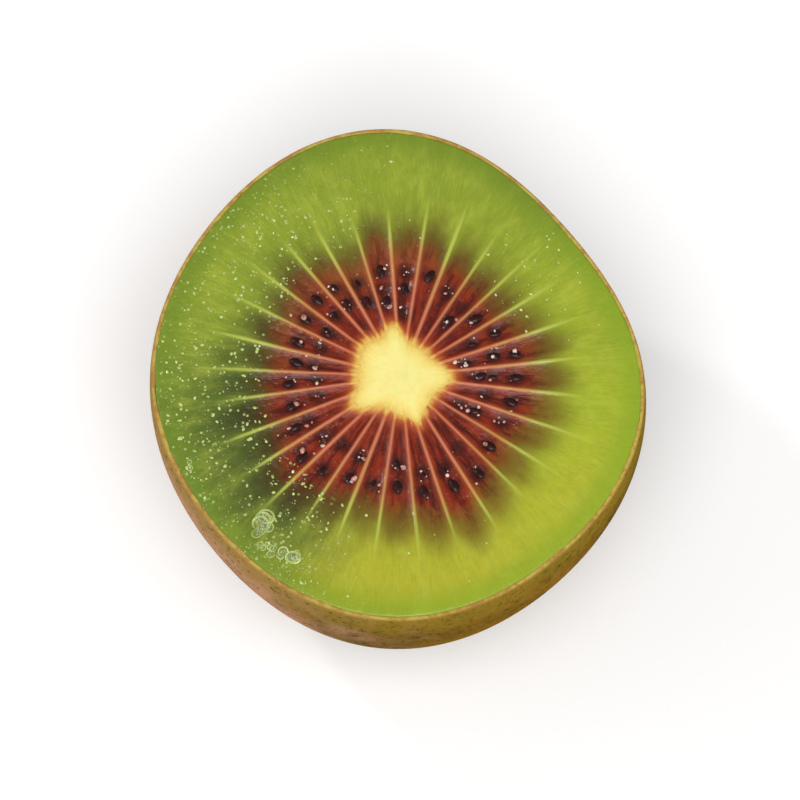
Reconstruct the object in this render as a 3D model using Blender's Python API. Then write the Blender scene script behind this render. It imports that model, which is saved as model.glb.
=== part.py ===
# Half of a red-heart kiwi fruit, cut across its middle and lying on its blossom end.
# Metres, +Z up. The origin is on the surface it rests on, under the middle of the fruit's extent.
# +X and +Y lie along the cut face, and +Y is its longer way.
import math
import random

import bmesh
import bpy
from mathutils import Matrix, Vector

# The whole half
HEIGHT = 0.0295           # cut face above the surface it rests on
MEAN_RADIUS = 0.0233     # of the cut face
FLAT_RADIUS = 0.007       # of the spot that it rests on
DIMPLE_RADIUS = 0.0038    # hollow at the blossom end
DIMPLE_DEPTH = 0.0021
SKIN_THICKNESS = 0.0006
GAP = 0.0003              # between two layers

# The cut outline is a circle with slow waves: (waves round, share of the radius, crest in degrees)
OUTLINE_WAVES = [(2, 0.0365, 110), (3, 0.016, 101), (4, 0.020, 89)]

# The wall's profile is a part of an ellipse, and widest a little below the cut
WIDEST_SHARE = 1.008      # of the cut face's radius

# The pale core
CORE_X = 0.0005           # its middle on the cut face
CORE_Y = 0.0000
CORE_RADIUS = 0.0031
CORE_BOTTOM = 0.0050      # height of its lower end
CORE_END_SHARE = 0.45     # its width there, as a share of that on the face
# Corners that reach out from it: (degrees, reach in metres, half-width in degrees)
CORE_CORNERS = [
    (358, 0.00145, 19),
    (98, 0.0015, 13),
    (138, 0.00115, 30),
    (182, 0.0006, 18),
    (214, 0.00185, 16),
    (290, 0.00085, 32),
    (290, 0.00075, 8),
]

# The red flesh round the core, with waves as the outline has
RED_RADIUS = 0.01225
RED_WAVES = [(1, 0.062, 255), (2, 0.034, 103), (3, 0.024, 103), (4, 0.029, 18), (5, 0.042, 5)]
RED_TOOTH = 0.0006        # how far it reaches out between two rays
RED_BOTTOM = 0.0085       # height of its lower end
RED_FOOT = 0.14           # its thickness there, as a share of that on the face

# The rays that part the seed chambers
RAY_COUNT = 29
RAY_FIRST = 4.7           # degrees
RAY_CROWDING = 2.8        # degrees that a ray is moved at most, away from the crowded side
RAY_WIDE_SIDE = 333       # where they stand widest apart, in degrees
RAY_JITTER = 0.7          # degrees
RAY_WIDTH = 0.00058
RAY_TIP_WIDTH = 0.00026
RAY_RISE = 0.00030        # above the cut face
RAY_END = 0.0182          # how far the longest reaches from the core's middle
RAY_END_SPREAD = 0.0018

# The seeds
SEED_LENGTH = 0.0019
SEED_WIDTH = 0.00115
SEED_HEIGHT = 0.0010
SEED_RISE = 0.00012       # its middle above the cut face
SEED_SIDES = 6
SEED_RINGS = 4
# Seeds in each chamber: (nearest place, farthest place, how often), with 0 by the core and 1 by the red edge
SEED_PLACES = [(0.82, 1.0, 1.0), (0.40, 0.60, 0.75), (0.05, 0.20, 0.25)]
SEED_ASIDE = 1.2          # degrees off the chamber's middle
SEED_TURN = 25            # degrees

# The dried styles in the blossom end's hollow
PAD_RADIUS = 0.0015
PAD_THICKNESS = 0.00045
STYLE_COUNT = 14
STYLE_LENGTH = 0.0021
STYLE_WIDTH = 0.00050
STYLE_ROOT = 0.0006       # from the middle of the pad
STYLE_DROOP = (99, 111)   # degrees from straight up

# Rings of faces down each wall
WALL_RINGS = 12
RED_RINGS = 7
CORE_RINGS = 6

SHARP_ANGLE = 38          # degrees
draw = random.Random(11)


def wave_sum(waves, angle):
    return 1 + sum(share * math.cos(count * (angle - math.radians(crest))) for count, share, crest in waves)


def ray_angles():
    """Angles of the rays about the core's middle, in rising order."""
    angles = []
    for k in range(RAY_COUNT):
        even = 360 * k / RAY_COUNT + RAY_FIRST
        moved = RAY_CROWDING * math.sin(math.radians(even - RAY_WIDE_SIDE))
        angles.append(math.radians(even + moved + draw.uniform(-RAY_JITTER, RAY_JITTER)))
    return angles


RAYS = ray_angles()
CHAMBERS = [(a + b) / 2 for a, b in zip(RAYS, RAYS[1:] + [RAYS[0] + math.tau])]

# Every layer has its points on the rays and on the chambers' middles, in turn
STATIONS = [angle for pair in zip(RAYS, CHAMBERS) for angle in pair]


def core_radius(angle):
    radius = CORE_RADIUS
    for at, reach, width in CORE_CORNERS:
        off = (math.degrees(angle) - at + 180) % 360 - 180
        radius += reach * math.exp(-((off / width) ** 2))
    return radius


def red_radius(angle, tooth=0):
    """Edge of the red flesh about the core's middle; tooth is 0 on a ray and 1 in a chamber's middle."""
    return RED_RADIUS * wave_sum(RED_WAVES, angle) + RED_TOOTH * (tooth - 0.5)


def wall_profile():
    """Places up the wall, the dimple's middle first: the share of the outline's radius, the height, and how
    much the outward normal points across and up."""
    places = []
    for share in (0.0, 0.4, 0.75, 1.0):
        places.append((share * DIMPLE_RADIUS / MEAN_RADIUS, DIMPLE_DEPTH * (1 - share ** 3)))
    low_turn = -math.acos(FLAT_RADIUS / (WIDEST_SHARE * MEAN_RADIUS))  # from the widest place down to the flat spot
    high_turn = math.acos(1 / WIDEST_SHARE)  # and up to the cut
    half_length = HEIGHT / (math.sin(high_turn) - math.sin(low_turn))  # of the whole fruit
    for k in range(WALL_RINGS + 1):
        turn = low_turn + (high_turn - low_turn) * k / WALL_RINGS
        places.append((WIDEST_SHARE * math.cos(turn), half_length * (math.sin(turn) - math.sin(low_turn))))
    profile = []
    for k, (share, height) in enumerate(places):
        before = places[max(k - 1, 0)]
        after = places[min(k + 1, len(places) - 1)]
        along = Vector(((after[0] - before[0]) * MEAN_RADIUS, after[1] - before[1])).normalized()
        profile.append((share, height, along.y, -along.x))
    return profile


def outline_point(station):
    """The cut outline's point in this direction from the core's middle."""
    direction = Vector((math.cos(station), math.sin(station)))
    seen = Vector((CORE_X, CORE_Y)) + MEAN_RADIUS * direction
    for _ in range(5):
        radius = MEAN_RADIUS * wave_sum(OUTLINE_WAVES, math.atan2(seen.y, seen.x))
        seen += (radius - seen.length) * direction
    return seen


OUTLINE = [outline_point(station) for station in STATIONS]


def layer_rings(inset):
    """Rings of the outer wall moved inwards by inset, from the dimple's middle up to the cut face."""
    rings = []
    for share, height, across, up in wall_profile():
        ring = []
        for point in OUTLINE:
            inwards = point * share - point.normalized() * inset * across
            ring.append(Vector((*inwards, height - inset * up)))
        rings.append(ring)
    rings[0] = [Vector((0, 0, rings[0][0].z))]
    for point in rings[-1]:
        point.z = HEIGHT
    return rings


def ring_about_core(radii, height):
    return [
        Vector((CORE_X + radius * math.cos(angle), CORE_Y + radius * math.sin(angle), height))
        for angle, radius in zip(STATIONS, radii)
    ]


def core_share(height):
    """The core's width at this height, as a share of that on the cut face."""
    down = min((HEIGHT - height) / (HEIGHT - CORE_BOTTOM), 1)
    return 1 - (1 - CORE_END_SHARE) * down ** 1.5


def core_wall(low, steps, grow=0.0):
    """Rings of the core's wall, moved outwards by grow, from the cut face down to the height low."""
    rings = []
    for k in range(steps + 1):
        height = HEIGHT + (low - HEIGHT) * k / steps
        radii = [core_radius(angle) * core_share(height) + grow for angle in STATIONS]
        rings.append(ring_about_core(radii, height))
    return rings


def red_wall(low, grow=0.0):
    """Rings of the red flesh's wall, moved outwards by grow, from the cut face down to the height low."""
    rings = []
    for k in range(RED_RINGS + 1):
        turn = math.pi / 2 * k / RED_RINGS
        height = HEIGHT + (low - HEIGHT) * math.sin(turn)
        thick = RED_FOOT + (1 - RED_FOOT) * max(math.cos(turn), 0) ** 0.8
        radii = []
        for place, angle in enumerate(STATIONS):
            core = core_radius(angle)
            radii.append(core * core_share(height) + (red_radius(angle, place % 2) - core) * thick + grow)
        rings.append(ring_about_core(radii, height))
    return rings


def make_material(name, colour, roughness, coat=0.0):
    made = bpy.data.materials.new(name)
    made.use_nodes = True
    shader = made.node_tree.nodes["Principled BSDF"]
    shader.inputs["Base Color"].default_value = (*colour, 1)
    shader.inputs["Roughness"].default_value = roughness
    shader.inputs["Metallic"].default_value = 0.0
    shader.inputs["Coat Weight"].default_value = coat
    made.diffuse_color = (*colour, 1)
    return made


def add_object(name, bm, material=None):
    bmesh.ops.recalc_face_normals(bm, faces=bm.faces)
    mesh = bpy.data.meshes.new(name)
    bm.to_mesh(mesh)
    bm.free()
    made = bpy.data.objects.new(name, mesh)
    bpy.context.scene.collection.objects.link(made)
    if material:
        mesh.materials.append(material)
    return made


def loft(name, rings, material, joined=False):
    """One closed solid through the rings. A ring of one point is a pole. Other end rings are capped flat, or
    joined to each other, which leaves a hole through the middle."""
    bm = bmesh.new()
    loops = [[bm.verts.new(point) for point in ring] for ring in rings]
    ends = [] if joined else [loops[0], loops[-1]]
    if joined:
        loops.append(loops[0])
    for a, b in zip(loops, loops[1:]):
        for k in range(len(STATIONS)):
            n = k + 1
            corners = [a[k % len(a)], a[n % len(a)], b[n % len(b)], b[k % len(b)]]
            bm.faces.new(dict.fromkeys(corners))  # a pole comes twice, and is kept once
    for end in ends:
        if len(end) > 1:
            bm.faces.new(end)
    return add_object(name, bm, material)


def drop_scraps(mesh):
    """Keeps the mesh's largest body, without the slivers that crossing pieces can seal in."""
    bm = bmesh.new()
    bm.from_mesh(mesh)
    bodies = []
    for start in bm.verts:
        if start.tag:
            continue
        start.tag = True
        body = [start]
        for vert in body:  # it grows as it is read
            for edge in vert.link_edges:
                other = edge.other_vert(vert)
                if not other.tag:
                    other.tag = True
                    body.append(other)
        bodies.append(body)
    bodies.sort(key=len)
    for scrap in bodies[:-1]:
        bmesh.ops.delete(bm, geom=scrap, context="VERTS")
    bm.to_mesh(mesh)
    bm.free()


def fuse(target, pieces):
    """Joins the pieces to the target by one Boolean union, and removes them."""
    collection = bpy.data.collections.new("fused_pieces")
    bpy.context.scene.collection.children.link(collection)
    for piece in pieces:
        bpy.context.scene.collection.objects.unlink(piece)
        collection.objects.link(piece)
        piece.hide_render = True
        piece.display_type = "WIRE"
    union = target.modifiers.new("Union", "BOOLEAN")
    union.operation = "UNION"
    union.solver = "EXACT"
    union.operand_type = "COLLECTION"
    union.collection = collection
    bpy.context.view_layer.update()
    evaluated = target.evaluated_get(bpy.context.evaluated_depsgraph_get())
    fused = bpy.data.meshes.new_from_object(evaluated)
    drop_scraps(fused)
    target.modifiers.clear()
    target.data = fused
    for piece in pieces:
        bpy.data.objects.remove(piece)
    bpy.data.collections.remove(collection)


def ray_ridge(angle, start, end):
    """A low roof-shaped ridge along one ray, with its root under the cut face."""
    bm = bmesh.new()
    loops = []
    for reach in (start, end):
        along = (reach - CORE_RADIUS) / (RAY_END - CORE_RADIUS)
        half = (RAY_WIDTH + (RAY_TIP_WIDTH - RAY_WIDTH) * along) / 2
        rise = RAY_RISE * (1 - 0.5 * along)
        eaves = rise * 0.35
        corners = ((-half, -RAY_RISE), (half, -RAY_RISE), (half, eaves), (0, rise), (-half, eaves))
        loops.append([bm.verts.new((reach, side, up)) for side, up in corners])
    for loop in loops:
        bm.faces.new(loop)
    bmesh.ops.bridge_loops(bm, edges=bm.edges)
    place = Matrix.Translation((CORE_X, CORE_Y, HEIGHT)) @ Matrix.Rotation(angle, 4, "Z")
    bmesh.ops.transform(bm, matrix=place, verts=bm.verts)
    return add_object("ray", bm)


def make_seed(angle, reach, turn):
    """A seed lying in its chamber, its narrow end towards the core."""
    bm = bmesh.new()
    bmesh.ops.create_uvsphere(bm, u_segments=SEED_SIDES, v_segments=SEED_RINGS, radius=0.5)
    size = Matrix.Diagonal((SEED_HEIGHT, SEED_WIDTH, SEED_LENGTH, 1))
    bmesh.ops.transform(bm, matrix=Matrix.Rotation(math.pi / 2, 4, "Y") @ size, verts=bm.verts)
    for vert in bm.verts:
        vert.co.y *= 0.8 + 0.35 * vert.co.x / SEED_LENGTH
    out = Matrix.Rotation(angle, 4, "Z") @ Matrix.Translation((reach, 0, 0)) @ Matrix.Rotation(turn, 4, "Z")
    place = Matrix.Translation((CORE_X, CORE_Y, HEIGHT + SEED_RISE)) @ out
    bmesh.ops.transform(bm, matrix=place, verts=bm.verts)
    return add_object("seed", bm)


def make_seeds():
    made = []
    for k, angle in enumerate(CHAMBERS):
        near = core_radius(angle) + SEED_LENGTH
        far = red_radius(angle, 1) - GAP - SEED_LENGTH * 0.6
        for low, high, often in SEED_PLACES:
            reach = near + (far - near) * draw.uniform(low, high)
            aside = math.radians(draw.uniform(-SEED_ASIDE, SEED_ASIDE))
            turn = math.radians(draw.uniform(-SEED_TURN, SEED_TURN))
            if draw.random() < often:
                made.append(make_seed(angle + aside, reach, turn))
    return made


def make_skin(material):
    return loft("skin", layer_rings(0) + layer_rings(SKIN_THICKNESS)[::-1], material)


def make_outer_flesh(material):
    """The green flesh, with a hollow for the red flesh and, below that, for the core's lower end."""
    red_low = RED_BOTTOM - GAP
    core_hollow = core_wall(CORE_BOTTOM - GAP, CORE_RINGS, GAP)
    core_hollow = [ring for ring in core_hollow if ring[0].z < red_low]
    rings = layer_rings(SKIN_THICKNESS + GAP) + red_wall(red_low, GAP) + core_hollow
    flesh = loft("outer_flesh", rings, material)
    ridges = []
    for angle in RAYS:
        end = RAY_END - draw.uniform(0, RAY_END_SPREAD)
        ridges.append(ray_ridge(angle, red_radius(angle) + GAP * 1.5, end))
    fuse(flesh, ridges)
    return flesh


def make_inner_flesh(material):
    """The red flesh: a ring round the core, with its rays and the seeds raised from the cut face."""
    rings = red_wall(RED_BOTTOM) + core_wall(RED_BOTTOM, RED_RINGS, GAP)[::-1]
    flesh = loft("inner_flesh", rings, material, joined=True)
    ridges = []
    for angle in RAYS:
        ridges.append(ray_ridge(angle, core_radius(angle) + GAP * 1.5, red_radius(angle) - GAP * 0.5))
    fuse(flesh, ridges + make_seeds())
    return flesh


def make_core(material):
    return loft("core", core_wall(CORE_BOTTOM, CORE_RINGS), material)


def make_style(k, height):
    """One dried style, a thin cone that leans out and down from the pad."""
    bm = bmesh.new()
    bmesh.ops.create_cone(
        bm, cap_ends=True, segments=5, radius1=STYLE_WIDTH / 2, radius2=STYLE_WIDTH / 8, depth=STYLE_LENGTH
    )
    bmesh.ops.translate(bm, vec=(0, 0, STYLE_LENGTH / 2), verts=bm.verts)
    droop = Matrix.Rotation(math.radians(draw.uniform(*STYLE_DROOP)), 4, "Y")
    turn = Matrix.Rotation(math.tau * k / STYLE_COUNT + draw.uniform(-0.1, 0.1), 4, "Z")
    root = Matrix.Translation((STYLE_ROOT, 0, 0))
    place = Matrix.Translation((0, 0, height)) @ turn @ root @ droop
    bmesh.ops.transform(bm, matrix=place, verts=bm.verts)
    return add_object("style", bm)


def make_dried_styles(material):
    """A small pad with the flower's dried styles round it, clear of the surface below."""
    height = DIMPLE_DEPTH - GAP - PAD_THICKNESS
    bm = bmesh.new()
    bmesh.ops.create_cone(
        bm, cap_ends=True, segments=12, radius1=PAD_RADIUS * 0.8, radius2=PAD_RADIUS, depth=PAD_THICKNESS
    )
    bmesh.ops.translate(bm, vec=(0, 0, height), verts=bm.verts)
    pad = add_object("dried_styles", bm, material)
    fuse(pad, [make_style(k, height) for k in range(STYLE_COUNT)])
    return pad


def main():
    for old in list(bpy.data.objects):
        bpy.data.objects.remove(old)
    across = [point.x for point in OUTLINE]
    along = [point.y for point in OUTLINE]
    fruit = bpy.data.objects.new("kiwi_half", None)
    fruit.location = (-(min(across) + max(across)) / 2, -(min(along) + max(along)) / 2, 0)
    bpy.context.scene.collection.objects.link(fruit)
    layers = [
        make_skin(make_material("skin", (0.36, 0.25, 0.09), 0.62)),
        make_outer_flesh(make_material("outer_flesh", (0.33, 0.50, 0.04), 0.30, 0.4)),
        make_inner_flesh(make_material("inner_flesh", (0.20, 0.018, 0.012), 0.28, 0.5)),
        make_core(make_material("core", (0.88, 0.80, 0.30), 0.45)),
        make_dried_styles(make_material("dried_styles", (0.09, 0.05, 0.03), 0.85)),
    ]
    for layer in layers:
        layer.parent = fruit
        layer.data.shade_smooth()
        layer.data.set_sharp_from_angle(angle=math.radians(SHARP_ANGLE))
    bpy.context.view_layer.update()


main()
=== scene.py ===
# Half of a red-heart kiwi fruit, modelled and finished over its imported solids
import math
import random

import bpy
import numpy as np
from mathutils import Matrix, Vector


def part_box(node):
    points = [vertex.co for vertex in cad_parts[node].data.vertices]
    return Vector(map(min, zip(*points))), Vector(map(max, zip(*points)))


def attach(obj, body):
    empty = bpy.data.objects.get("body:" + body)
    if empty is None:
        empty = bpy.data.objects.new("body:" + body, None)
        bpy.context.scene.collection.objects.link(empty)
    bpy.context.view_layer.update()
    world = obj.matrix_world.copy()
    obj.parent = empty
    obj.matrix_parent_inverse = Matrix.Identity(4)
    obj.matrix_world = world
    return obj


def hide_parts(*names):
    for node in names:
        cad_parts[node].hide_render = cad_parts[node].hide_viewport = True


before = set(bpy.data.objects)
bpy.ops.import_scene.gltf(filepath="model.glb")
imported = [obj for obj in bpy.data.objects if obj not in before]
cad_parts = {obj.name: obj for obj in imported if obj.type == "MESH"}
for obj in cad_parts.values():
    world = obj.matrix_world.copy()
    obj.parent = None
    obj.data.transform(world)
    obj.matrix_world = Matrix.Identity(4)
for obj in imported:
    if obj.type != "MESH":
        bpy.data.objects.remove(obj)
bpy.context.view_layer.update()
skinLow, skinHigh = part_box("skin")
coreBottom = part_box("core")[0].z
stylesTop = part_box("dried_styles")[1].z
print("frame loaded")

mm = 0.001
draw = random.Random(11)


# The fruit's own shape, as its solids have it

fruit = {
    # waves round, share of the radius, crest in degrees
    "outlineWaves": [(2, 0.0365, 110), (3, 0.016, 101), (4, 0.020, 89)],
    "widestShare": 1.008,    # of the cut's radius, a little below it
    "flatRadius": 7.0 * mm,  # the spot that it rests on
    "dimpleRadius": 3.8 * mm,
    "dimpleDepth": 2.1 * mm,
    "coreX": 0.5 * mm,       # the core's middle
    "coreY": 0.0,
    "skin": 0.42 * mm,       # thickness
}

rays = {
    "count": 29,
    "first": 4.7,      # degrees
    "crowding": 2.8,
    "wideSide": 333,
    "jitter": 0.7,
    "end": 18.8 * mm,  # the longest one, from the core's middle
    "endSpread": 2.2 * mm,
    "fade": 7.0 * mm,  # how slowly it is lost in the green
    "halfWidth": 0.18 * mm,
    "faintest": 0.65,  # share of the strongest one
    "rise": 0.05 * mm,
}

red = {
    "radius": 12.25 * mm,
    "waves": [(1, 0.062, 255), (2, 0.034, 103), (3, 0.024, 103), (4, 0.029, 18), (5, 0.042, 5)],
    "tooth": 0.6 * mm,
    "spread": 0.15 * mm,  # how far its colour goes past its chambers
    "tongues": [          # degrees, reach in millimetres, half-width in degrees
        (4, -0.7, 8), (48, 0.6, 6), (70, -0.6, 7), (83, 0.6, 4), (100, 0.9, 5),
        (112, -0.8, 5), (130, 0.4, 9), (183, 0.6, 6), (205, -0.5, 9), (227, 0.6, 8),
        (252, -0.4, 8), (281, -1.0, 8), (293, 0.3, 6), (319, -0.9, 8), (341, 0.7, 7),
    ],
}

core = {
    "radius": 3.1 * mm,
    "corners": [  # as the tongues
        (358, 1.45, 19), (98, 1.5, 13), (138, 1.15, 30), (182, 0.6, 18),
        (214, 1.85, 16), (290, 0.85, 32), (290, 0.75, 8),
    ],
    "endShare": 0.45,
    "dome": 0.10 * mm,
}


def waveSum(waves, angle):
    total = np.ones_like(angle)
    for count, share, crest in waves:
        total = total + share * np.cos(count * (angle - math.radians(crest)))
    return total


def humps(angle, places):
    total = np.zeros_like(angle)
    for at, out, width in places:
        off = (np.degrees(angle) - at + 180) % 360 - 180
        total = total + out * mm * np.exp(-((off / width) ** 2))
    return total


def smooth(value, low, high):  # 0 below low, 1 above high
    t = np.clip((value - low) / (high - low), 0, 1)
    return t * t * (3 - 2 * t)


turns = np.linspace(0, math.tau, 3600)
unitX = waveSum(fruit["outlineWaves"], turns) * np.cos(turns)
unitY = waveSum(fruit["outlineWaves"], turns) * np.sin(turns)
meanRadius = (skinHigh.x - skinLow.x) / (unitX.max() - unitX.min()) / fruit["widestShare"]
middleX = -(unitX.max() + unitX.min()) / 2 * meanRadius
middleY = -(unitY.max() + unitY.min()) / 2 * meanRadius
height = skinHigh.z  # of the cut face


def rayAngles():
    angles = []
    for k in range(rays["count"]):
        even = 360 * k / rays["count"] + rays["first"]
        moved = rays["crowding"] * math.sin(math.radians(even - rays["wideSide"]))
        angles.append(math.radians(even + moved + draw.uniform(-rays["jitter"], rays["jitter"])))
    return angles


rayAt = rayAngles()
rayEnd = np.array([rays["end"] - draw.uniform(0, rays["endSpread"]) for _ in rayAt])
rayRound = np.array(rayAt + [rayAt[0] + math.tau, rayAt[1] + math.tau])  # goes on past the full turn


def fromCore(angle, reach):  # a place, from the core's middle
    return fruit["coreX"] + reach * np.cos(angle), fruit["coreY"] + reach * np.sin(angle)


def outlineReach(angle):  # from the core's middle to the outline
    reach = np.full_like(angle, meanRadius)
    for _ in range(6):
        x, y = fromCore(angle, reach)
        reach = reach + meanRadius * waveSum(fruit["outlineWaves"], np.arctan2(y, x)) - np.hypot(x, y)
    return reach


def coreReach(angle):
    return core["radius"] + humps(angle, core["corners"])


def coreShare(z):
    down = np.clip((height - z) / (height - coreBottom), 0, 1)
    return 1 - (1 - core["endShare"]) * down ** 1.5


def redReach(angle):
    return red["radius"] * waveSum(red["waves"], angle)


def columnAngles(perChamber, crowd):
    # columns stand closer by the rays; gives each one's angle, chamber and place in it
    steps = np.arange(rays["count"] * perChamber + 1) / perChamber
    chamber = np.floor(steps).astype(int)
    place = steps - chamber
    place = place - crowd * np.sin(math.tau * place) / math.tau
    angle = rayRound[chamber] + (rayRound[chamber + 1] - rayRound[chamber]) * place
    return angle, chamber % rays["count"], place


def wallProfile(rows, dimpleRows=6):
    # from the cut face down to the dimple's middle: share of the outline, height, normal
    low = -math.acos(fruit["flatRadius"] / (fruit["widestShare"] * meanRadius))
    high = math.acos(1 / fruit["widestShare"])
    halfLength = height / (math.sin(high) - math.sin(low))
    turn = np.linspace(high, low, rows + 1)
    share = fruit["widestShare"] * np.cos(turn)
    z = halfLength * (np.sin(turn) - math.sin(low))
    inward = np.linspace(1, 0, dimpleRows + 1)
    share = np.append(share, inward * fruit["dimpleRadius"] / meanRadius)
    z = np.append(z, fruit["dimpleDepth"] * (1 - inward ** 3))
    across = np.gradient(z)
    up = -np.gradient(share) * meanRadius
    length = np.hypot(across, up)
    return share, z, -across / length, -up / length


def outlinePoints(angle, share=1):
    return fromCore(angle, outlineReach(angle) * share)


def wallRings(angle, inset, rows):  # the wall, moved inwards, from the cut face down to its pole
    x, y = outlinePoints(angle)
    size = np.hypot(x, y)
    share, z, across, up = wallProfile(rows)
    rings = np.empty((len(share), len(angle), 3))
    rings[:, :, 0] = x * share[:, None] - x / size * inset * across[:, None]
    rings[:, :, 1] = y * share[:, None] - y / size * inset * across[:, None]
    rings[:, :, 2] = (z - inset * up)[:, None]
    rings[0, :, 2] = height
    rings[-1, :, :2] = 0
    return rings


def coreRing(angle, reach, z):
    return np.stack([*fromCore(angle, reach), z + 0 * angle], axis=-1)


def coreWall(angle, edge, rows):  # from its pole up to just under the cut
    heights = np.append(np.linspace(coreBottom, height - 1 * mm, rows - 1), height - 0.03 * mm)
    return [coreRing(angle, 0, coreBottom)] + [coreRing(angle, edge * coreShare(z), z) for z in heights]


def streakPlace(angle, along):  # drawn out from the core towards the rim
    return np.stack([np.cos(angle) * 9 + 0 * along, np.sin(angle) * 9 + 0 * along, along], axis=-1)


# Modelling helpers

def deselect():
    bpy.ops.object.select_all(action="DESELECT")


def editMode(piece, *actions):
    deselect()
    piece.select_set(True)
    bpy.context.view_layer.objects.active = piece
    bpy.ops.object.mode_set(mode="EDIT")
    bpy.ops.mesh.select_all(action="SELECT")
    for action, values in actions:
        action(**values)
    bpy.ops.object.mode_set(mode="OBJECT")


def cleanUp(piece, threshold=1e-7):
    editMode(
        piece,
        (bpy.ops.mesh.remove_doubles, {"threshold": threshold}),
        (bpy.ops.mesh.normals_make_consistent, {"inside": False}),
        (bpy.ops.mesh.faces_shade_smooth, {}),
    )


def rollGrid(name, rings, values=None):
    # a flat grid is rolled up into the rings, and closed along its seam and at its poles
    rows, columns = rings.shape[0] - 1, rings.shape[1] - 1
    deselect()
    bpy.ops.mesh.primitive_grid_add(x_subdivisions=columns, y_subdivisions=rows, size=1)
    piece = bpy.context.object
    piece.name = piece.data.name = name
    flat = np.empty(len(piece.data.vertices) * 3)
    piece.data.vertices.foreach_get("co", flat)
    flat = flat.reshape(-1, 3)
    column = np.rint((flat[:, 0] + 0.5) * columns).astype(int)
    row = np.rint((flat[:, 1] + 0.5) * rows).astype(int)
    placed = rings[row, column] + np.array([middleX, middleY, 0])
    piece.data.vertices.foreach_set("co", placed.ravel())
    for key, value in (values or {}).items():
        kind, field = ("FLOAT_VECTOR", "vector") if value.ndim == 3 else ("FLOAT", "value")
        made = piece.data.attributes.new(key, kind, "POINT")
        made.data.foreach_set(field, value[row, column].astype(np.float32).ravel())
    cleanUp(piece)
    return piece


def joinPieces(name, pieces):
    deselect()
    for piece in pieces:
        piece.select_set(True)
    bpy.context.view_layer.objects.active = pieces[-1]
    bpy.ops.object.join()
    joined = bpy.context.object
    joined.name = joined.data.name = name
    return joined


def joinCopies(name, model, places):  # each copy has its own mesh
    copies = []
    for place in places:
        copies.append(bpy.data.objects.new(name, model.data.copy()))
        bpy.context.scene.collection.objects.link(copies[-1])
        copies[-1].data.transform(place)
    bpy.data.objects.remove(model)
    return joinPieces(name, copies)


# Material helpers

def colour(code):  # a six-digit code as the shader's linear colour
    parts = [int(code[k:k + 2], 16) / 255 for k in (0, 2, 4)]
    return tuple(p / 12.92 if p <= 0.04045 else ((p + 0.055) / 1.055) ** 2.4 for p in parts) + (1,)


def colours(codes):
    return {key: colour(code) for key, code in codes.items()}


def newFinish(name, **values):
    finish = bpy.data.materials.new(name)
    finish.use_nodes = True
    shader = finish.node_tree.nodes["Principled BSDF"]
    for key, value in values.items():
        shader.inputs[key].default_value = value
    return finish, finish.node_tree, shader


def node(tree, kind, inputs=None, **settings):
    made = tree.nodes.new("ShaderNode" + kind)
    for key, value in settings.items():
        setattr(made, key, value)
    for key, value in (inputs or {}).items():
        if isinstance(value, bpy.types.NodeSocket):
            tree.links.new(value, made.inputs[key])
        else:
            made.inputs[key].default_value = value
    return made


def blendColour(tree, factor, first, second):
    mix = node(tree, "Mix", data_type="RGBA")
    for key, value in (("Factor", factor), ("A", first), ("B", second)):
        sockets = [s for s in mix.inputs if s.name == key and s.enabled]
        if isinstance(value, bpy.types.NodeSocket):
            tree.links.new(value, sockets[0])
        else:
            sockets[0].default_value = value
    return [s for s in mix.outputs if s.enabled][0]


def step(tree, value, low, high, toLow=0.0, toHigh=1.0):
    made = node(
        tree, "MapRange",
        {"Value": value, "From Min": low, "From Max": high, "To Min": toLow, "To Max": toHigh},
        interpolation_type="SMOOTHSTEP",
    )
    return made.outputs["Result"]


def sums(tree, operation, first, second):
    return node(tree, "Math", {0: first, 1: second}, operation=operation).outputs[0]


def times(tree, first, second):
    return sums(tree, "MULTIPLY", first, second)


def minus(tree, first, second):
    return sums(tree, "SUBTRACT", first, second)


def ragged(tree, value, noise, amount, around=0.5):  # the value, moved up and down by the noise
    return sums(tree, "ADD", value, times(tree, minus(tree, noise, around), amount))


def layered(tree, base, look, *layers):  # each layer: where it shows, from, to, at most, its colour
    for value, low, high, most, tone in layers:
        base = blendColour(tree, step(tree, value, low, high, 0.0, most), base, look[tone])
    return base


def connect(tree, shader, values):
    for key, value in values.items():
        tree.links.new(value, shader.inputs[key])


def vectorMath(tree, operation, output, first, second):
    return node(tree, "VectorMath", {0: first, 1: second}, operation=operation).outputs[output]


def distanceTo(tree, place, spot):
    return vectorMath(tree, "DISTANCE", "Value", place, spot)


def stretched(tree, place, shares):
    return vectorMath(tree, "MULTIPLY", "Vector", place, shares)


def millimetres(tree):  # the piece's own place, in millimetres
    place = node(tree, "TexCoord").outputs["Object"]
    return node(tree, "VectorMath", {0: place, "Scale": 1000.0}, operation="SCALE").outputs["Vector"]


def readValue(tree, name):
    return node(tree, "Attribute", attribute_name=name).outputs["Fac"]


def readVector(tree, name):
    return node(tree, "Attribute", attribute_name=name).outputs["Vector"]


def speckle(tree, place, scale, detail=2.0, rough=0.5):
    made = node(tree, "TexNoise", {"Vector": place, "Scale": scale, "Detail": detail, "Roughness": rough})
    return made.outputs["Fac"]


def cells(tree, place, scale, feature="F1"):
    return node(tree, "TexVoronoi", {"Vector": place, "Scale": scale}, feature=feature).outputs["Distance"]


def bumps(tree, heightValue, distance, strength=1.0, before=None):
    inputs = {"Height": heightValue, "Distance": distance, "Strength": strength}
    if before:
        inputs["Normal"] = before
    return node(tree, "Bump", inputs).outputs["Normal"]


# The flesh, with the green and the red zones as one grown surface

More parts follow.
